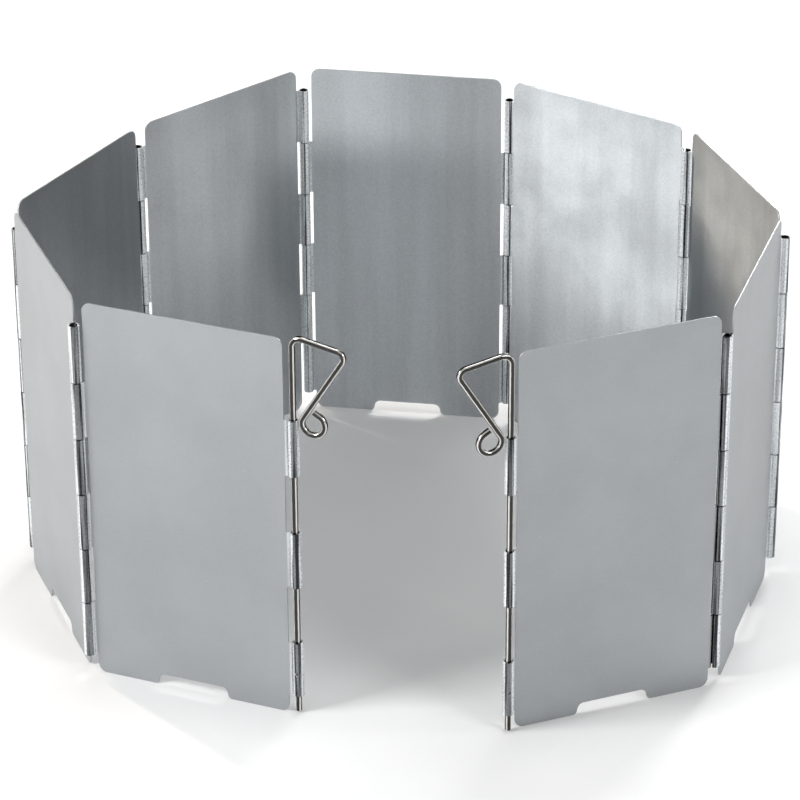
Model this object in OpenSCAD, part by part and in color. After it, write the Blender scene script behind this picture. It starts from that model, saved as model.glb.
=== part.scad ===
// Folding stove windscreen, in millimetres, +Z up, standing on its plates' feet.
// Nine sheet plates with rolled knuckles turn on wire hinge pins, and a bent
// wire ground stake slides in the free edge at each end of the chain.

/* [Plates] */
// Height of a plate
plate_h = 135; // [100:1:200]
// Distance between a plate's two hinge axes, along the sheet
hinge_pitch = 73; // [55:0.5:110]
// Thickness of the sheet
sheet_t = 0.5; // [0.4:0.05:0.7]
// Radius of a plate's outer corners
corner_r = 3; // [1:0.5:6]
// From a hinge axis to the plate's straight edge
edge_setback = 2.7; // [2.5:0.1:4]

/* [Air inlets] */
// Width of the inlet at the foot of a plate
inlet_w = 29; // [15:1:36]
// Width of the inlet at its top edge
inlet_top_w = 23; // [10:1:30]
// Height of the inlet
inlet_h = 4; // [3:0.5:10]
// Radius of the inlet's corners
inlet_r = 2; // [0.5:0.25:3]

/* [Rolled knuckles] */
// Outside diameter of a rolled knuckle
knuckle_d = 3.6; // [3.4:0.1:4]
// Knuckle places along one hinge
knuckle_count = 6; // [4:2:8]
// From the top of a plate down to the top knuckle
barrel_drop = 7.9; // [5:0.1:15]
// From the foot of a plate up to the lowest knuckle
barrel_rise = 6.4; // [5:0.1:15]
// Gap between the ends of neighbouring knuckles
knuckle_gap = 0.4; // [0.3:0.1:1]
// From a hinge axis to the middle of the sheet, half the pitch of the folded stack
fold_offset = 1; // [0.95:0.05:1.2]
// Middle radius of the reverse bend that leads into a roll
jog_r = 0.75; // [0.6:0.05:0.9]
// Where the rolled lip stops, short of the sheet
lip_angle = 45; // [40:1:70]
// From the lower end of a free edge's lowest knuckle up to its crimp
crimp_rise = 8.3; // [5:0.1:12]
// Gap between a crimp and the stake that it grips
crimp_clear = 0.05; // [0.02:0.01:0.1]

/* [Wire] */
// Diameter of the hinge pins and the stakes
wire_d = 2; // [1.6:0.1:2.1]
// From the mouth of a hinge barrel to the end of its pin
pin_inset = 1; // [0.5:0.1:3]

/* [Ground stakes] */
// Length of a stake's shank, from its tip to the corner of its handle
shank_l = 135.4; // [115:0.1:180]
// Height of the stake tips above the plates' feet
tip_lift = 0.4; // [0:0.1:5]
// Chamfer round the cut tip
tip_chamfer = 0.3; // [0.1:0.1:0.6]
// From the shank to the outer corner of the handle
arm_reach = 18.3; // [15:0.1:24]
// Slope of the handle's arm below level
arm_slope = 10; // [0:1:20]
// Middle radius of the bend from shank to arm
top_bend_r = 3; // [2:0.1:4]
// Middle radius of the bend at the outer corner
corner_bend_r = 2.2; // [1.5:0.1:3]
// Middle radius of the eye
eye_r = 3.75; // [3:0.05:4.5]
// From the handle's top corner down to the middle of the eye
eye_drop = 29.4; // [26:0.1:35]
// Gap between the eye and a knuckle beside it
eye_clear = 0.3; // [0.3:0.1:1]
// Angle where the eye runs out into its tail
eye_end_angle = 60; // [40:1:80]
// Gap between the cut end of the tail and the handle
tail_clear = 0.7; // [0.3:0.1:1.5]

/* [Standing bends] */
// Inward bend between plates 1 and 2
bend_angle_12 = 47.8; // [0:0.1:60]
// Inward bend between plates 2 and 3
bend_angle_23 = 51.5; // [0:0.1:60]
// Inward bend between plates 3 and 4
bend_angle_34 = 17.2; // [0:0.1:60]
// Inward bend between plates 4 and 5
bend_angle_45 = 50.9; // [0:0.1:60]
// Inward bend between plates 5 and 6
bend_angle_56 = 25.1; // [0:0.1:60]
// Inward bend between plates 6 and 7
bend_angle_67 = 35.5; // [0:0.1:60]
// Inward bend between plates 7 and 8
bend_angle_78 = 38; // [0:0.1:60]
// Inward bend between plates 8 and 9
bend_angle_89 = 51.4; // [0:0.1:60]

/* [Hidden] */
$fn = 48;

bend_angles = [
    bend_angle_12, bend_angle_23, bend_angle_34, bend_angle_45,
    bend_angle_56, bend_angle_67, bend_angle_78, bend_angle_89
];
plate_count = len(bend_angles) + 1;
middle_plate = (plate_count + 1) / 2;

// Plate
plate_w = hinge_pitch - 2 * edge_setback;
inlet_run = (inlet_w - inlet_top_w) / 2;
inlet_slant = [inlet_run, inlet_h] / norm([inlet_run, inlet_h]);
// How far cutting tools stand past the face that they cut
past = 1;
// How far a knuckle's tab laps into the sheet
tab_lap = 1;

// Roll
knuckle_r = knuckle_d / 2;
bore_r = knuckle_r - sheet_t;
roll_r = knuckle_r - sheet_t / 2;
jog_x = sqrt(pow(jog_r + roll_r, 2) - pow(fold_offset - jog_r, 2));
jog_y = fold_offset - jog_r;
jog_angle = atan2(jog_y, jog_x);
// The sheet's loss on each face of the reverse bend, and how far the bend laps into the roll
jog_thinning = 0.02;
jog_lap = 4;
// How far the wedges that cut the seam and the reverse bend reach
seam_reach = 2 * knuckle_r;
jog_reach = 3 * jog_r;
barrel_l = plate_h - barrel_drop - barrel_rise;
slot_l = barrel_l / knuckle_count;
knuckle_l = slot_l - knuckle_gap;

// Crimp on the lowest knuckle of a free edge: a dent outside and a bump inside
wire_r = wire_d / 2;
crimp_z = barrel_rise + knuckle_gap / 2 + crimp_rise;
crimp_ball_r = 0.6;
crimp_at = wire_r + crimp_clear + crimp_ball_r;
dent_ball_r = 1;
dent_depth = 0.35;

// Stake handle, with u away from the shank and v up from the tip
corner_at = [arm_reach, shank_l - arm_reach * tan(arm_slope)];
eye_at = [knuckle_r + eye_clear + wire_r + eye_r, shank_l - eye_drop];
to_eye = eye_at - corner_at;
eye_dir = atan2(to_eye[1], to_eye[0]) - asin(eye_r / norm(to_eye));
top_turn = 90 + arm_slope;
corner_turn = -arm_slope - eye_dir;
top_cut = top_bend_r * tan(top_turn / 2);
corner_cut = corner_bend_r * tan(corner_turn / 2);
arm_dir = toward(-arm_slope);
corner_bend_at = corner_at - corner_cut * arm_dir + corner_bend_r * toward(-arm_slope - 90);
eye_start = eye_at + eye_r * toward(eye_dir - 90);
eye_sweep = 360 + eye_end_angle - (eye_dir + 270);
eye_end = eye_at + eye_r * toward(eye_end_angle);
tail_dir = toward(eye_end_angle + 90);
// Distance from the tail's start to the handle's diagonal, measured square to it
tail_room = (eye_end - eye_start) * toward(eye_dir + 90);
tail_l = (tail_room - wire_r - tail_clear) / -(tail_dir * toward(eye_dir + 90));
stake_reach = corner_bend_at[0] + corner_bend_r;
// The wire's loss of radius in a bend, and how far a straight run laps into one
bend_thinning = 0.02;
bend_lap = 0.1;

function toward(angle) = [cos(angle), sin(angle)];

// Chain of plates, seen from above: hinge 0 is the free edge of plate 1
function turn_of(i) =
    i == middle_plate ? 0
    : i > middle_plate ? turn_of(i - 1) - bend_angles[i - 2]
    : turn_of(i + 1) + bend_angles[i - 1];
function along(i) = toward(turn_of(i));
function outward(i) = toward(turn_of(i) + 90);
// Barrels lie on alternate sides of the sheet, so that the chain folds into a stack
function side(hinge) = hinge % 2 == 0 ? -1 : 1;
function left_axis_of(i) =
    centre_of(i) - along(i) * hinge_pitch / 2 + side(i - 1) * fold_offset * outward(i);
function right_axis_of(i) =
    centre_of(i) + along(i) * hinge_pitch / 2 + side(i) * fold_offset * outward(i);
function centre_of(i) =
    i == middle_plate ? [0, 0]
    : i > middle_plate
        ? right_axis_of(i - 1) + along(i) * hinge_pitch / 2 - side(i - 1) * fold_offset * outward(i)
        : left_axis_of(i + 1) - along(i) * hinge_pitch / 2 - side(i) * fold_offset * outward(i);
axes = [
    for (hinge = [0 : plate_count])
        hinge < middle_plate ? left_axis_of(hinge + 1) : right_axis_of(hinge)
];

// Middle of the outline seen from above, which becomes the origin
stake_turns = [turn_of(1) + 180, turn_of(plate_count)];
stake_axes = [axes[0], axes[plate_count]];
handle_ends = [for (k = [0, 1]) stake_axes[k] + stake_reach * toward(stake_turns[k])];
xs = concat(
    [for (a = axes) a[0] - knuckle_r], [for (a = axes) a[0] + knuckle_r],
    [for (h = handle_ends) h[0] - wire_r], [for (h = handle_ends) h[0] + wire_r]
);
ys = concat(
    [for (a = axes) a[1] - knuckle_r], [for (a = axes) a[1] + knuckle_r],
    [for (h = handle_ends) h[1] - wire_r], [for (h = handle_ends) h[1] + wire_r]
);
origin = [(min(xs) + max(xs)) / 2, (min(ys) + max(ys)) / 2];

// Sliver between a sharp corner at p, with edges along a and b, and its rounding
module corner_sliver(p, a, b, r) {
    half = acos(a * b) / 2;
    reach = r / tan(half);
    middle = p + (a + b) / norm(a + b) * r / sin(half);
    difference() {
        polygon([p, p + a * reach, middle, p + b * reach]);
        translate(middle) circle(r);
    }
}

module inlet_outline() {
    foot_x = inlet_w / 2 + past * inlet_run / inlet_h;
    difference() {
        polygon([
            [-foot_x, -past], [foot_x, -past],
            [inlet_top_w / 2, inlet_h], [-inlet_top_w / 2, inlet_h]
        ]);
        for (s = [-1, 1])
            corner_sliver(
                [s * inlet_top_w / 2, inlet_h], [-s, 0], [s * inlet_slant[0], -inlet_slant[1]], inlet_r
            );
    }
}

module plate_outline() {
    difference() {
        translate([-plate_w / 2, 0]) square([plate_w, plate_h]);
        inlet_outline();
        for (s = [-1, 1]) {
            corner_sliver([s * plate_w / 2, plate_h], [-s, 0], [0, -1], corner_r);
            corner_sliver([s * plate_w / 2, 0], [-s, 0], [0, 1], corner_r);
            corner_sliver([s * inlet_w / 2, 0], [s, 0], [-s * inlet_slant[0], inlet_slant[1]], inlet_r);
        }
    }
}

// Sections of a rolled knuckle about its hinge axis, with the sheet leaving along +X
// The roll, open at the seam between the sheet and the lip
module roll_outline() {
    difference() {
        circle(knuckle_r);
        circle(bore_r);
        polygon([[0, 0], seam_reach * toward(jog_angle), seam_reach * toward(lip_angle)]);
    }
}

// The reverse bend between the roll and the tab
module jog_outline() {
    translate([jog_x, jog_y]) intersection() {
        difference() {
            circle(jog_r + sheet_t / 2 - jog_thinning);
            circle(jog_r - sheet_t / 2 + jog_thinning);
        }
        polygon(concat(
            [[0, 0]],
            jog_reach * [toward(90), toward(135), toward(180 + jog_angle + jog_lap)]
        ));
    }
}

// The flat tab that joins the sheet
module tab_outline() {
    start = jog_x - bend_lap / 2;
    translate([start, fold_offset - sheet_t / 2]) square([edge_setback + tab_lap - start, sheet_t]);
}

// Places count from the top of the barrel
function place_z(place) = plate_h - barrel_drop - place * slot_l + knuckle_gap / 2;

module knuckle(place) {
    translate([0, 0, place_z(place)]) {
        linear_extrude(knuckle_l) roll_outline();
        linear_extrude(knuckle_l) jog_outline();
        linear_extrude(knuckle_l) tab_outline();
    }
}

// Lowest knuckle of a free edge, dented so that it grips the stake
module crimped_knuckle(place, facing) {
    difference() {
        union() {
            knuckle(place);
            translate([0, facing * crimp_at, crimp_z]) sphere(crimp_ball_r);
        }
        translate([0, facing * (knuckle_r + dent_ball_r - dent_depth), crimp_z]) sphere(dent_ball_r);
    }
}

// One edge's knuckles: every second place, starting at first
module knuckle_row(first, crimp) {
    for (place = [first : 2 : knuckle_count])
        if (crimp != 0 && place == knuckle_count) crimped_knuckle(place, crimp);
        else knuckle(place);
}

// A plate with its sheet in the XZ plane; the right edge is the left edge turned about Z
module plate_body(first, left_crimp = 0, right_crimp = 0) {
    translate([0, sheet_t / 2, 0]) rotate([90, 0, 0]) linear_extrude(sheet_t) plate_outline();
    translate([-hinge_pitch / 2, -fold_offset, 0]) knuckle_row(first, left_crimp);
    translate([hinge_pitch / 2, fold_offset, 0]) rotate([0, 0, 180]) knuckle_row(first, right_crimp);
}

module stand(i) {
    translate(concat(centre_of(i) - origin, 0)) rotate([0, 0, turn_of(i)]) children();
}

// Odd plates carry the even places, even plates are the mirror image with the odd places
module odd_plate(i, left_crimp = 0, right_crimp = 0) {
    stand(i) plate_body(2, left_crimp, right_crimp);
}

module even_plate(i) {
    stand(i) mirror([0, 1, 0]) plate_body(1);
}

module hinge_pin(hinge) {
    translate(concat(axes[hinge] - origin, barrel_rise + pin_inset))
        cylinder(h = barrel_l - 2 * pin_inset, r = wire_r);
}

// Straight wire from p to q in the XY plane, lapped into the bends that it meets
module wire_run(p, q, lap_p = bend_lap, lap_q = bend_lap) {
    d = (q - p) / norm(q - p);
    translate(p - lap_p * d) rotate([0, 0, atan2(d[1], d[0])]) rotate([0, 90, 0])
        cylinder(h = norm(q - p) + lap_p + lap_q, r = wire_r);
}

// Wire bent about a point in the XY plane, where it thins a little
module wire_bend(middle, r, from, sweep) {
    translate(middle) rotate([0, 0, from]) rotate_extrude(angle = sweep)
        translate([r, 0]) circle(wire_r - bend_thinning);
}

module stake_wire() {
    top_at = [0, shank_l];
    rotate([90, 0, 0]) {
        rotate([-90, 0, 0]) cylinder(h = tip_chamfer, r1 = wire_r - tip_chamfer, r2 = wire_r);
        wire_run([0, tip_chamfer], top_at - [0, top_cut], lap_p = 0);
        wire_bend([top_bend_r, shank_l - top_cut], top_bend_r, 180 - top_turn, top_turn);
        wire_run(top_at + top_cut * arm_dir, corner_at - corner_cut * arm_dir);
        wire_bend(corner_bend_at, corner_bend_r, eye_dir + 90, corner_turn);
        wire_run(corner_at + corner_cut * toward(eye_dir), eye_start);
        wire_bend(eye_at, eye_r, eye_dir + 270, eye_sweep);
        wire_run(eye_end, eye_end + tail_l * tail_dir, lap_q = 0);
    }
}

module stake(end) {
    translate(concat(stake_axes[end] - origin, tip_lift)) rotate([0, 0, stake_turns[end]]) stake_wire();
}

module plate_1() { color("silver") odd_plate(1, left_crimp = 1); }
module plate_2() { color("silver") even_plate(2); }
module plate_3() { color("silver") odd_plate(3); }
module plate_4() { color("silver") even_plate(4); }
module plate_5() { color("silver") odd_plate(5); }
module plate_6() { color("silver") even_plate(6); }
module plate_7() { color("silver") odd_plate(7); }
module plate_8() { color("silver") even_plate(8); }
module plate_9() { color("silver") odd_plate(9, right_crimp = -1); }
module pin_12() { color("gray") hinge_pin(1); }
module pin_23() { color("gray") hinge_pin(2); }
module pin_34() { color("gray") hinge_pin(3); }
module pin_45() { color("gray") hinge_pin(4); }
module pin_56() { color("gray") hinge_pin(5); }
module pin_67() { color("gray") hinge_pin(6); }
module pin_78() { color("gray") hinge_pin(7); }
module pin_89() { color("gray") hinge_pin(8); }
module stake_left() { color("lightgray") stake(0); }
module stake_right() { color("lightgray") stake(1); }

plate_1();
plate_2();
plate_3();
plate_4();
plate_5();
plate_6();
plate_7();
plate_8();
plate_9();
pin_12();
pin_23();
pin_34();
pin_45();
pin_56();
pin_67();
pin_78();
pin_89();
stake_left();
stake_right();
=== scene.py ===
import math

import bmesh
import bpy
import numpy as np
from mathutils import Matrix, Vector


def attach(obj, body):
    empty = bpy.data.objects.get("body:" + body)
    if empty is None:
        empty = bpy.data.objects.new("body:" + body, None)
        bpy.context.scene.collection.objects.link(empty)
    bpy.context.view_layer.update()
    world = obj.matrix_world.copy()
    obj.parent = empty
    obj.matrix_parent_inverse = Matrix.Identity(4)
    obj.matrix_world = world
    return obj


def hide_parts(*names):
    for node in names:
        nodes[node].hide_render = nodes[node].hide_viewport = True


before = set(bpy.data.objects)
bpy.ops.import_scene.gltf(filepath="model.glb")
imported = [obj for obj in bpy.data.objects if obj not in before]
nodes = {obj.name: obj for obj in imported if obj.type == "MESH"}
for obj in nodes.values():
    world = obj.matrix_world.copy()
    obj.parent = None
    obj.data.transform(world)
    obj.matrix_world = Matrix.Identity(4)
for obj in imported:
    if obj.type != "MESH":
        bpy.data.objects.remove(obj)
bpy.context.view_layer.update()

# Pieces, along the chain from the free left edge at the front to the free right edge
PLATES = ["plate_%d" % number for number in range(1, 10)]
PINS = ["pin_%d%d" % (number, number + 1) for number in range(1, 9)]
STAKES = ["stake_left", "stake_right"]

# Lengths are in metres, and the scales of patterns in turns per metre, along x, y and z where there are three
NOISE_LOW = 0.3
NOISE_HIGH = 0.7

# Share of red and green in the metal's cool grey
SILVER_RED = 0.93
SILVER_GREEN = 0.97

# Sheet: bright and smeared upright inside, matt outside
INNER_TONE = 0.54
INNER_SPREAD = 0.18
INNER_ROUGH = 0.32
INNER_METAL = 1.0
OUTER_TONE = 0.42
OUTER_SPREAD = 0.08
OUTER_ROUGH = 0.55
OUTER_METAL = 0.6
CLOUD_ROUGH = 0.03
GRAIN_ROUGH = 0.01
UPRIGHT_SMEAR = 1.0
SMEAR_TURN = 0.25
FACE_SOFT = 0.0001
EDGE_ROUND = 0.00022
EDGE_SAMPLES = 4

# Patterns on the sheet, and how much each lightens it inside and outside
GRAIN = {"scale": (2600, 2600, 45), "detail": 3.0, "rough": 0.6}
STREAK = {"scale": (90, 90, 5), "detail": 3.0, "rough": 0.55}
SPECK = {"scale": 1900, "detail": 2.0, "rough": 0.7}
CLOUD = {"detail": 3.0, "rough": 0.55}
CLOUD_SCALE = 26
CLOUD_STEP = 0.7
INNER_SPECK = 0.45
INNER_STREAK = 0.4
INNER_CLOUD = 0.15
OUTER_SPECK = 0.3
OUTER_CLOUD = 0.7
WAVE = {"scale": (16, 16, 11), "detail": 1.0, "rough": 0.4}
WAVE_DEPTH = 0.0006
WAVE_STRENGTH = 0.4
OUTER_WAVE = 0.25

# Small pale nicks outside
NICK_SCALE = 27
NICK_FROM = 0.003
NICK_TO = 0.011
NICK_TONE = 0.75
NICK_SHOW = 0.2

# Rolled barrels along the upright edges
ROLLED_FROM = 0.0338
ROLLED_TO = 0.0346
BARREL_ALONG = 0.0365
BARREL_ASIDE = 0.001
BORE_R = 0.00136
BORE_SOFT = 0.00004
# Near-black colour of the bore is painted shade inside the roll
BORE_SHADE_TONE = 0.03
ROLLED_DARK = 0.58
ROLLED_PALE = 0.9
ROLLED_METAL = 0.25
ROLLED_ROUGH = 0.3
ROLLED_ROUGH_SPREAD = 0.05
ROLLED_SPECK_LOW = 0.35
BURNISH = {"scale": (1000, 1000, 22), "detail": 2.0, "rough": 0.6}
BURNISH_LOW = 0.38
BURNISH_HIGH = 0.62
BURNISH_SPECK = 0.1
# Colours of the painted dark reflection band on the barrels
BAND_DARK = 0.04
BAND_PALE = 0.3
BAND_SOFT = 0.06
BAND_RAGGED = 0.1
AXIS_SAFE = 0.0001
# Painted dark reflection on each row of barrels, on two opposite sides, from the free left edge round
# to the free right edge: the way one side faces, in degrees to the right of the front, and half its width
REFLECTION_BAND = [(9, 35), (20, 42), (-40, 14), (9, 7), (9, 7), (9, 7), (9, 7), (50, 14), (-13, 42), (9, 35)]

# Wire
WIRE_SPECK = {"scale": 2400, "detail": 2.0, "rough": 0.6}
WIRE_SPECK_HIGH = 0.75
WIRE_BUMP = 0.5
PIN_DARK = (0.08, 0.08, 0.08, 1)
PIN_PALE = (0.14, 0.135, 0.13, 1)
PIN_ROUGH = (0.25, 0.4)
DIE_LINES = {"scale": (3500, 3500, 60), "detail": 2.0, "rough": 0.6}
DIE_LINE_DEPTH = 0.000004
# Stake colours: a painted highlight along the wire's shoulders and painted dark reflection down its middle
# and edges
STAKE_PALE = (0.74, 0.73, 0.71, 1)
STAKE_DARK = (0.05, 0.047, 0.044, 1)
STAKE_ROUGH = (0.12, 0.24)
SCUFF = {"scale": (1500, 1500, 300), "detail": 3.0, "rough": 0.6}
SCUFF_DEPTH = 0.000006
SCUFF_SHIFT = 0.00002
SHOULDER_FROM = 0.00046
SHOULDER_TO = 0.00084
SHOULDER_SOFT = 0.00006
SHOULDER_METAL = 0.55

# Air inlets: the solids' slanted sides, and the steeper ones that the photograph shows
INLET_H = 0.004
SLANTED = {"width": 0.029, "top_width": 0.023, "foot_r": 0.002, "top_r": 0.002}
STEEP = {"width": 0.025, "top_width": 0.0234, "foot_r": 0.0014, "top_r": 0.0022}
ON_SHEET = 0.0003
SQUARE_ON = 0.9999
MERGE = 0.000001
NEAR = 0.00002
NEAR_TURN = 0.01
SHARP_EDGE = math.radians(30)
QUAD = 4

# Floor
FLOOR_REACH = 20.0
FLOOR_TONE = (0.9, 0.9, 0.9, 1)
FLOOR_ROUGH = 0.9
FLOOR_GLOSS = 0.1
WHITE_FROM = 0.7
WHITE_TO = 1.5

# Soft boxes: azimuth in degrees to the right of the front, elevation, width, height, watts and colour
WHITE = (1, 1, 1)
WARM = (1.0, 0.91, 0.8)
LAMPS = {
    "front_left_box": (-60, 30, 0.5, 0.5, 12.2, WHITE),
    "low_front_box": (-16, 11, 0.3, 0.1, 2.0, WHITE),
    "left_strip": (-122, 26, 0.05, 0.4, 5.2, WARM),
    "front_right_box": (58, 28, 0.5, 0.4, 5.2, WHITE),
    "right_strip": (92, 26, 0.25, 0.4, 2.2, WHITE),
    "back_box": (160, 30, 0.5, 0.4, 12.5, WHITE),
    "overhead_box": (0, 89, 0.3, 0.3, 4.2, WHITE),
}
LAMP_DISTANCE = 1.3
LAMP_AIM = Vector((0, 0, 0.06))
ROOM_LIGHT = 0.05

# Camera, fitted to the photograph
EYE = Vector((0.17526, -1.09770, 0.66529))
CAMERA_X = Vector((0.98777, 0.15586, -0.00460))
CAMERA_Y = Vector((-0.07028, 0.47136, 0.87914))
SENSOR_MM = 36
LENS_MM = 169.895
CLIP_NEAR = 0.01
CLIP_FAR = 50


class Finish:
    """A material whose nodes are added and joined by name."""

    def __init__(self, name):
        self.material = bpy.data.materials.new(name)
        self.material.use_nodes = True
        self.tree = self.material.node_tree
        self.tree.nodes.clear()
        self.out = self.add("ShaderNodeOutputMaterial")

    def add(self, kind, **values):
        node = self.tree.nodes.new(kind)
        for key, value in values.items():
            setattr(node, key, value)
        return node

    def put(self, socket, value):
        if isinstance(value, bpy.types.NodeSocket):
            self.tree.links.new(value, socket)
        else:
            socket.default_value = value

    def place(self):
        return self.add("ShaderNodeTexCoord").outputs["Object"]

    def math(self, operation, a, b=0.0, clamp=False):
        node = self.add("ShaderNodeMath", operation=operation, use_clamp=clamp)
        self.put(node.inputs[0], a)
        self.put(node.inputs[1], b)
        return node.outputs[0]

    def stretch(self, vector, scale):
        node = self.add("ShaderNodeMapping", vector_type="POINT")
        self.put(node.inputs["Vector"], vector)
        node.inputs["Scale"].default_value = scale
        return node.outputs["Vector"]

    def noise(self, vector, scale, detail, rough):
        if isinstance(scale, tuple):
            vector, scale = self.stretch(vector, scale), 1.0
        node = self.add("ShaderNodeTexNoise", noise_dimensions="3D")
        self.put(node.inputs["Vector"], vector)
        node.inputs["Scale"].default_value = scale
        node.inputs["Detail"].default_value = detail
        node.inputs["Roughness"].default_value = rough
        return node.outputs["Fac"]

    def ramp(self, value, low, high, to_low=0.0, to_high=1.0):
        node = self.add("ShaderNodeMapRange", interpolation_type="SMOOTHSTEP", clamp=True)
        self.put(node.inputs["Value"], value)
        node.inputs["From Min"].default_value = low
        node.inputs["From Max"].default_value = high
        node.inputs["To Min"].default_value = to_low
        node.inputs["To Max"].default_value = to_high
        return node.outputs["Result"]

    def spread(self, noise, to_low, to_high):
        return self.ramp(noise, NOISE_LOW, NOISE_HIGH, to_low, to_high)

    def blend(self, factor, a, b):
        node = self.add("ShaderNodeMix", data_type="FLOAT")
        self.put(node.inputs[0], factor)
        self.put(node.inputs[2], a)
        self.put(node.inputs[3], b)
        return node.outputs[0]

    def tint(self, factor, a, b):
        node = self.add("ShaderNodeMix", data_type="RGBA")
        self.put(node.inputs[0], factor)
        self.put(node.inputs[6], a)
        self.put(node.inputs[7], b)
        return node.outputs[2]

    def bump(self, height, depth, strength, normal=None):
        node = self.add("ShaderNodeBump")
        node.inputs["Strength"].default_value = strength
        node.inputs["Distance"].default_value = depth
        self.put(node.inputs["Height"], height)
        if normal is not None:
            self.put(node.inputs["Normal"], normal)
        return node.outputs["Normal"]

    def surface(self, colour, rough, metal, normal):
        shader = self.add("ShaderNodeBsdfPrincipled")
        self.put(shader.inputs["Base Color"], colour)
        self.put(shader.inputs["Roughness"], rough)
        self.put(shader.inputs["Metallic"], metal)
        self.put(shader.inputs["Normal"], normal)
        self.put(self.out.inputs["Surface"], shader.outputs["BSDF"])
        return shader


def silver(tone):
    """A cool grey."""
    return (tone * SILVER_RED, tone * SILVER_GREEN, tone, 1)


# Plates
def sheet_place(name):
    """Middle of a plate's sheet and the angle of its outward face, from its two broad faces."""
    mesh = nodes[name].data
    broad = max(mesh.polygons, key=lambda face: face.area)
    outward = Vector((broad.normal.x, broad.normal.y, 0)).normalized()
    if outward.dot(broad.center) < 0:
        outward = -outward
    along = Vector((-outward.y, outward.x, 0))
    flat = [face for face in mesh.polygons if abs(face.normal.dot(outward)) > SQUARE_ON]
    area = sum(face.area for face in flat)
    offset = sum(face.area * face.center.dot(outward) for face in flat) / area
    reach = [corner.co.dot(along) for corner in mesh.vertices]
    middle = along * (min(reach) + max(reach)) / 2 + outward * offset
    return middle, math.atan2(outward.y, outward.x)


def sheet_space(f, middle, facing):
    """The plate's own directions: outwards through the sheet, along it, and up, from its middle."""
    place = f.add("ShaderNodeMapping", vector_type="POINT")
    f.put(place.inputs["Vector"], f.place())
    place.inputs["Rotation"].default_value = (0, 0, -facing)
    place.inputs["Location"].default_value = -(Matrix.Rotation(-facing, 3, "Z") @ middle)
    split = f.add("ShaderNodeSeparateXYZ")
    f.put(split.inputs[0], place.outputs["Vector"])
    return place.outputs["Vector"], split.outputs


def nicks(f, axes):
    """Scattered round nicks on the flat of the sheet."""
    flat = f.add("ShaderNodeCombineXYZ")
    f.put(flat.inputs[0], axes[1])
    f.put(flat.inputs[1], axes[2])
    cells = f.add("ShaderNodeTexVoronoi", voronoi_dimensions="2D", feature="F1")
    f.put(cells.inputs["Vector"], flat.outputs[0])
    cells.inputs["Scale"].default_value = NICK_SCALE
    return f.ramp(cells.outputs["Distance"], NICK_FROM, NICK_TO, NICK_SHOW, 0.0)


def sheet_finish(f, number, local, axes, outer, speck):
    """Colour and roughness of the flat sheet: streaked inside, mottled and nicked outside."""
    grain = f.noise(local, **GRAIN)
    streak = f.noise(local, **STREAK)
    cloud = f.noise(local, CLOUD_SCALE + number * CLOUD_STEP, **CLOUD)

    inner_rough = f.math("ADD", f.spread(cloud, -CLOUD_ROUGH, CLOUD_ROUGH),
                         f.spread(grain, -GRAIN_ROUGH, GRAIN_ROUGH))
    inner_rough = f.math("ADD", inner_rough, INNER_ROUGH)
    outer_rough = f.spread(cloud, OUTER_ROUGH - CLOUD_ROUGH, OUTER_ROUGH + CLOUD_ROUGH)

    pale = f.math("ADD", f.spread(speck, 0.0, INNER_SPECK), f.spread(streak, 0.0, INNER_STREAK))
    pale = f.math("ADD", pale, f.spread(cloud, 0.0, INNER_CLOUD))
    inner = f.tint(pale, silver(INNER_TONE * (1 - INNER_SPREAD)), silver(INNER_TONE * (1 + INNER_SPREAD)))
    mottle = f.math("ADD", f.spread(cloud, 0.0, OUTER_CLOUD), f.spread(speck, 0.0, OUTER_SPECK))
    matt = f.tint(mottle, silver(OUTER_TONE * (1 - OUTER_SPREAD)), silver(OUTER_TONE * (1 + OUTER_SPREAD)))
    matt = f.tint(nicks(f, axes), matt, silver(NICK_TONE))
    return f.tint(outer, inner, matt), f.blend(outer, inner_rough, outer_rough)


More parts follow.
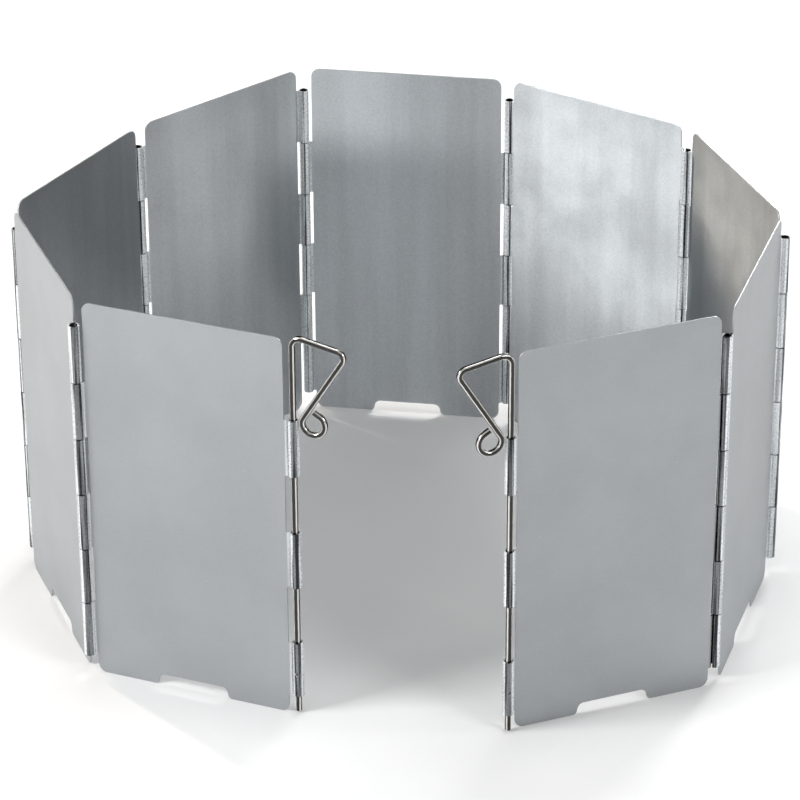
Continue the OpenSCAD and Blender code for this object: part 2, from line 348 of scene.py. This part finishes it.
def barrel_finish(f, number, facing, local, axes, speck):
    """Colour, roughness and metal of the barrels: streaked, with a painted dark reflection band on two
    opposite sides and painted shade in the bore.
    """
    # Barrels stand inside the sheet on one edge and outside on the other, and odd and even plates differ.
    # upper is 1 on the edge that joins the plate before, and 0 on the edge that joins the plate after.
    upper = f.ramp(axes[1], -FACE_SOFT, FACE_SOFT)
    aside = BARREL_ASIDE if number % 2 else -BARREL_ASIDE
    barrel_x = f.math("ADD", axes[0], f.blend(upper, -aside, aside))
    barrel_y = f.math("ADD", axes[1], f.blend(upper, BARREL_ALONG, -BARREL_ALONG))
    square_x, square_y = (f.math("POWER", f.math("ABSOLUTE", way), 2.0) for way in (barrel_x, barrel_y))
    radius = f.math("SQRT", f.math("ADD", square_x, square_y))

    # Painted dark reflection: a band on two opposite sides of each barrel, set by which way it faces
    sides = []
    for azimuth, half in (REFLECTION_BAND[number], REFLECTION_BAND[number - 1]):
        turned = math.radians(azimuth - 90) - facing
        sides.append((math.cos(turned), math.sin(turned), math.radians(half)))
    band_x, band_y, band_half = (f.blend(upper, low, high) for low, high in zip(*sides))
    toward = f.math("ADD", f.math("MULTIPLY", barrel_x, band_x), f.math("MULTIPLY", barrel_y, band_y))
    toward = f.math("ABSOLUTE", f.math("DIVIDE", toward, f.math("MAXIMUM", radius, AXIS_SAFE)))
    turn_from_band = f.math("ARCCOSINE", f.math("MINIMUM", toward, 1.0))
    burnish = f.noise(local, **BURNISH)
    past_band = f.math("ADD", f.math("SUBTRACT", turn_from_band, band_half),
                       f.spread(burnish, -BAND_RAGGED, BAND_RAGGED))
    band = f.ramp(past_band, -BAND_SOFT, BAND_SOFT, 1.0, 0.0)
    # Painted shade: the bore inside the roll is darkened
    bore = f.ramp(radius, BORE_R - BORE_SOFT, BORE_R, 1.0, 0.0)

    streaky = f.math("ADD", f.ramp(burnish, BURNISH_LOW, BURNISH_HIGH),
                     f.spread(speck, -BURNISH_SPECK, BURNISH_SPECK), clamp=True)
    colour = f.tint(streaky, silver(ROLLED_DARK), silver(ROLLED_PALE))
    colour = f.tint(band, colour, f.tint(streaky, silver(BAND_DARK), silver(BAND_PALE)))
    colour = f.tint(bore, colour, silver(BORE_SHADE_TONE))
    rough = f.ramp(speck, ROLLED_SPECK_LOW, NOISE_HIGH,
                   ROLLED_ROUGH - ROLLED_ROUGH_SPREAD, ROLLED_ROUGH + ROLLED_ROUGH_SPREAD)
    metal = f.blend(f.math("MAXIMUM", band, bore), ROLLED_METAL, 1.0)
    return colour, rough, metal


def mill_sheet(name, number):
    """Rolled aluminium, matt outside and brighter inside, with its grain upright."""
    middle, facing = sheet_place(name)
    f = Finish("mill_sheet_" + name)
    local, axes = sheet_space(f, middle, facing)
    outer = f.ramp(axes[0], -FACE_SOFT, FACE_SOFT)
    rolled = f.ramp(f.math("ABSOLUTE", axes[1]), ROLLED_FROM, ROLLED_TO)
    speck = f.noise(local, **SPECK)
    flat_colour, flat_rough = sheet_finish(f, number, local, axes, outer, speck)
    rolled_colour, rolled_rough, rolled_metal = barrel_finish(f, number, facing, local, axes, speck)

    edge = f.add("ShaderNodeBevel", samples=EDGE_SAMPLES)
    edge.inputs["Radius"].default_value = EDGE_ROUND
    wave = f.math("MULTIPLY", f.noise(local, **WAVE), f.blend(outer, 1.0, OUTER_WAVE))
    shader = f.surface(f.tint(rolled, flat_colour, rolled_colour),
                       f.blend(rolled, flat_rough, rolled_rough),
                       f.blend(rolled, f.blend(outer, INNER_METAL, OUTER_METAL), rolled_metal),
                       f.bump(wave, WAVE_DEPTH, WAVE_STRENGTH, edge.outputs["Normal"]))
    matt = f.math("MULTIPLY", outer, f.math("SUBTRACT", 1.0, rolled))
    upright = f.add("ShaderNodeTangent", direction_type="RADIAL", axis="Z")
    f.put(shader.inputs["Anisotropic"], f.blend(matt, UPRIGHT_SMEAR, 0.0))
    shader.inputs["Anisotropic Rotation"].default_value = SMEAR_TURN
    f.put(shader.inputs["Tangent"], upright.outputs[0])
    return f.material


def inlet_corners(width, top_width, foot_r, top_r):
    """Slope of an inlet's side, and the middle and radius of the rounds at its foot and top."""
    slope = math.atan2(INLET_H, (width - top_width) / 2)
    bend = math.tan(slope / 2)
    foot = (width / 2 + foot_r * bend, foot_r, foot_r)
    top = (top_width / 2 - top_r * bend, INLET_H - top_r, top_r)
    return slope, foot, top


def steeper(along, height):
    """New place of a point on a rounded inlet corner, or None elsewhere."""
    old_slope, old_foot, old_top = inlet_corners(**SLANTED)
    new_slope, new_foot, new_top = inlet_corners(**STEEP)
    for old, new, way in ((old_foot, new_foot, -1), (old_top, new_top, 1)):
        aside, up = way * (along - old[0]), way * (height - old[1])
        turn = math.atan2(aside, up)
        if abs(math.hypot(aside, up) - old[2]) < NEAR and -NEAR_TURN < turn < old_slope + NEAR_TURN:
            turn *= new_slope / old_slope
            reach = way * new[2]
            return new[0] + reach * math.sin(turn), new[1] + reach * math.cos(turn)
    return None


def steep_plate(name, number):
    """The plate as its solid has it, with the sides of its air inlet made steeper."""
    middle, facing = sheet_place(name)
    outward = Vector((math.cos(facing), math.sin(facing), 0))
    along = Vector((-outward.y, outward.x, 0))

    def on_broad_face(face):
        depth = (face.calc_center_median() - middle).dot(outward)
        return abs(face.normal.dot(outward)) > SQUARE_ON and abs(depth) < ON_SHEET

    def inside_broad_face(edge):
        if len(edge.link_faces) != 2 or not all(on_broad_face(face) for face in edge.link_faces):
            return False
        return edge.link_faces[0].normal.dot(edge.link_faces[1].normal) > 0

    sheet = bmesh.new()
    sheet.from_mesh(nodes[name].data)
    bmesh.ops.remove_doubles(sheet, verts=sheet.verts, dist=MERGE)
    sheet.normal_update()
    bmesh.ops.dissolve_edges(sheet, edges=[edge for edge in sheet.edges if inside_broad_face(edge)],
                             use_verts=False)
    for corner in sheet.verts:
        apart = corner.co - middle
        y = apart.dot(along)
        if abs(apart.dot(outward)) < ON_SHEET and corner.co.z < INLET_H + NEAR:
            moved = steeper(abs(y), corner.co.z)
            if moved:
                corner.co += along * (math.copysign(moved[0], y) - y)
                corner.co.z = moved[1]
    sheet.normal_update()
    bmesh.ops.triangulate(sheet, faces=[face for face in sheet.faces if len(face.verts) > QUAD])
    for face in sheet.faces:
        face.smooth = True
    for edge in sheet.edges:
        edge.smooth = len(edge.link_faces) == 2 and edge.calc_face_angle(0.0) < SHARP_EDGE
    mesh = bpy.data.meshes.new(name + "_sheet")
    sheet.to_mesh(mesh)
    sheet.free()
    if "custom_normal" in mesh.attributes:
        mesh.attributes.remove(mesh.attributes["custom_normal"])
    mesh.materials.append(mill_sheet(name, number))
    piece = bpy.data.objects.new(name + "_sheet", mesh)
    bpy.context.scene.collection.objects.link(piece)
    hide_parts(name)
    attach(piece, "leaf_%d" % number)


# Wire
def pin_wire():
    """Drawn steel wire with fine die lines."""
    f = Finish("pin_steel")
    place = f.place()
    lines = f.noise(place, **DIE_LINES)
    speck = f.noise(place, **WIRE_SPECK)
    f.surface(f.tint(f.spread(lines, 0.0, 1.0), PIN_DARK, PIN_PALE),
              f.ramp(speck, NOISE_LOW, WIRE_SPECK_HIGH, *PIN_ROUGH),
              1.0, f.bump(lines, DIE_LINE_DEPTH, WIRE_BUMP))
    return f.material


def bend_plane(name):
    """Middle of a stake and the direction square to the plane that its wire is bent in."""
    corners = np.array([corner.co for corner in nodes[name].data.vertices])
    middle = (corners.min(0) + corners.max(0)) / 2
    across = np.linalg.svd(corners - corners.mean(0), full_matrices=False)[2][2]
    offset = (corners - middle) @ across
    middle = middle + across * (offset.min() + offset.max()) / 2
    return Vector(middle), Vector(across)


def stake_wire(name):
    """Bent stainless wire with painted reflections: a painted highlight along its shoulders, and painted dark
    reflection down the middle and along the edges.
    """
    middle, across = bend_plane(name)
    f = Finish("stake_steel_" + name)
    place = f.place()
    apart = f.add("ShaderNodeVectorMath", operation="SUBTRACT")
    f.put(apart.inputs[0], place)
    apart.inputs[1].default_value = middle
    depth = f.add("ShaderNodeVectorMath", operation="DOT_PRODUCT")
    f.put(depth.inputs[0], apart.outputs["Vector"])
    depth.inputs[1].default_value = across
    scuff = f.noise(place, **SCUFF)
    highlight_depth = f.math("ADD", f.math("ABSOLUTE", depth.outputs["Value"]),
                    f.spread(scuff, -SCUFF_SHIFT, SCUFF_SHIFT))
    # Painted highlight on the wire's shoulders, with painted dark reflection in the middle and at the edges
    shoulder = f.math("MULTIPLY",
                      f.ramp(highlight_depth, SHOULDER_FROM - SHOULDER_SOFT, SHOULDER_FROM + SHOULDER_SOFT),
                      f.ramp(highlight_depth, SHOULDER_TO - SHOULDER_SOFT, SHOULDER_TO + SHOULDER_SOFT, 1.0, 0.0))
    speck = f.noise(place, **WIRE_SPECK)
    f.surface(f.tint(shoulder, STAKE_DARK, STAKE_PALE),
              f.ramp(speck, NOISE_LOW, WIRE_SPECK_HIGH, *STAKE_ROUGH),
              f.blend(shoulder, 1.0, SHOULDER_METAL), f.bump(scuff, SCUFF_DEPTH, WIRE_BUMP))
    return f.material


def dress(name, material):
    """Gives a node its finish in place of the plain one."""
    slots = nodes[name].material_slots
    if not slots:
        nodes[name].data.materials.append(material)
    for slot in slots:
        slot.material = material


for number, name in enumerate(PLATES, 1):
    steep_plate(name, number)
for name in STAKES:
    dress(name, stake_wire(name))
pin_steel = pin_wire()
for name in PINS:
    dress(name, pin_steel)


# Floor
def pale_floor():
    """Pale floor that keeps the shadow near the screen and is white as a background further off."""
    f = Finish("pale_floor")
    distance = f.add("ShaderNodeVectorMath", operation="LENGTH")
    f.put(distance.inputs[0], f.place())
    path = f.add("ShaderNodeLightPath")
    seen = f.math("ADD", path.outputs["Is Camera Ray"], path.outputs["Is Glossy Ray"])
    seen = f.math("ADD", seen, path.outputs["Is Transmission Ray"], clamp=True)
    far = f.math("MULTIPLY", f.ramp(distance.outputs["Value"], WHITE_FROM, WHITE_TO), seen)
    pale = f.add("ShaderNodeBsdfPrincipled")
    pale.inputs["Base Color"].default_value = FLOOR_TONE
    pale.inputs["Roughness"].default_value = FLOOR_ROUGH
    pale.inputs["Specular IOR Level"].default_value = FLOOR_GLOSS
    white = f.add("ShaderNodeEmission")
    white.inputs["Strength"].default_value = 1.0
    either = f.add("ShaderNodeMixShader")
    f.put(either.inputs[0], far)
    f.put(either.inputs[1], pale.outputs["BSDF"])
    f.put(either.inputs[2], white.outputs["Emission"])
    f.put(f.out.inputs["Surface"], either.outputs["Shader"])
    return f.material


ground = bmesh.new()
bmesh.ops.create_grid(ground, x_segments=1, y_segments=1, size=FLOOR_REACH)
floor_mesh = bpy.data.meshes.new("floor")
ground.to_mesh(floor_mesh)
ground.free()
floor_mesh.materials.append(pale_floor())
floor = bpy.data.objects.new("floor", floor_mesh)
bpy.context.scene.collection.objects.link(floor)


# Light
def soft_box(name, azimuth, elevation, width, height, watts, colour):
    """Area lamp aimed at the middle of the screen."""
    a, e = math.radians(azimuth), math.radians(elevation)
    away = Vector((math.sin(a) * math.cos(e), -math.cos(a) * math.cos(e), math.sin(e)))
    lamp = bpy.data.lights.new(name, "AREA")
    lamp.shape = "RECTANGLE"
    lamp.size = width
    lamp.size_y = height
    lamp.energy = watts
    lamp.color = colour
    box = bpy.data.objects.new(name, lamp)
    turn = away.to_track_quat("Z", "Y").to_matrix().to_4x4()
    box.matrix_world = Matrix.Translation(LAMP_AIM + away * LAMP_DISTANCE) @ turn
    bpy.context.scene.collection.objects.link(box)


for name, values in LAMPS.items():
    soft_box(name, *values)

world = bpy.data.worlds.new("studio")
bpy.context.scene.world = world
world.use_nodes = True
room = world.node_tree.nodes["Background"]
room.inputs["Color"].default_value = (*WHITE, 1)
room.inputs["Strength"].default_value = ROOM_LIGHT

# Camera
lens = bpy.data.cameras.new("camera")
lens.sensor_fit = "HORIZONTAL"
lens.sensor_width = SENSOR_MM
lens.lens = LENS_MM
lens.clip_start = CLIP_NEAR
lens.clip_end = CLIP_FAR
camera = bpy.data.objects.new("camera", lens)
axes = Matrix((CAMERA_X, CAMERA_Y, CAMERA_X.cross(CAMERA_Y))).transposed()
camera.matrix_world = Matrix.Translation(EYE) @ axes.to_4x4()
bpy.context.scene.collection.objects.link(camera)
bpy.context.scene.camera = camera

bpy.context.scene.view_settings.view_transform = "Standard"
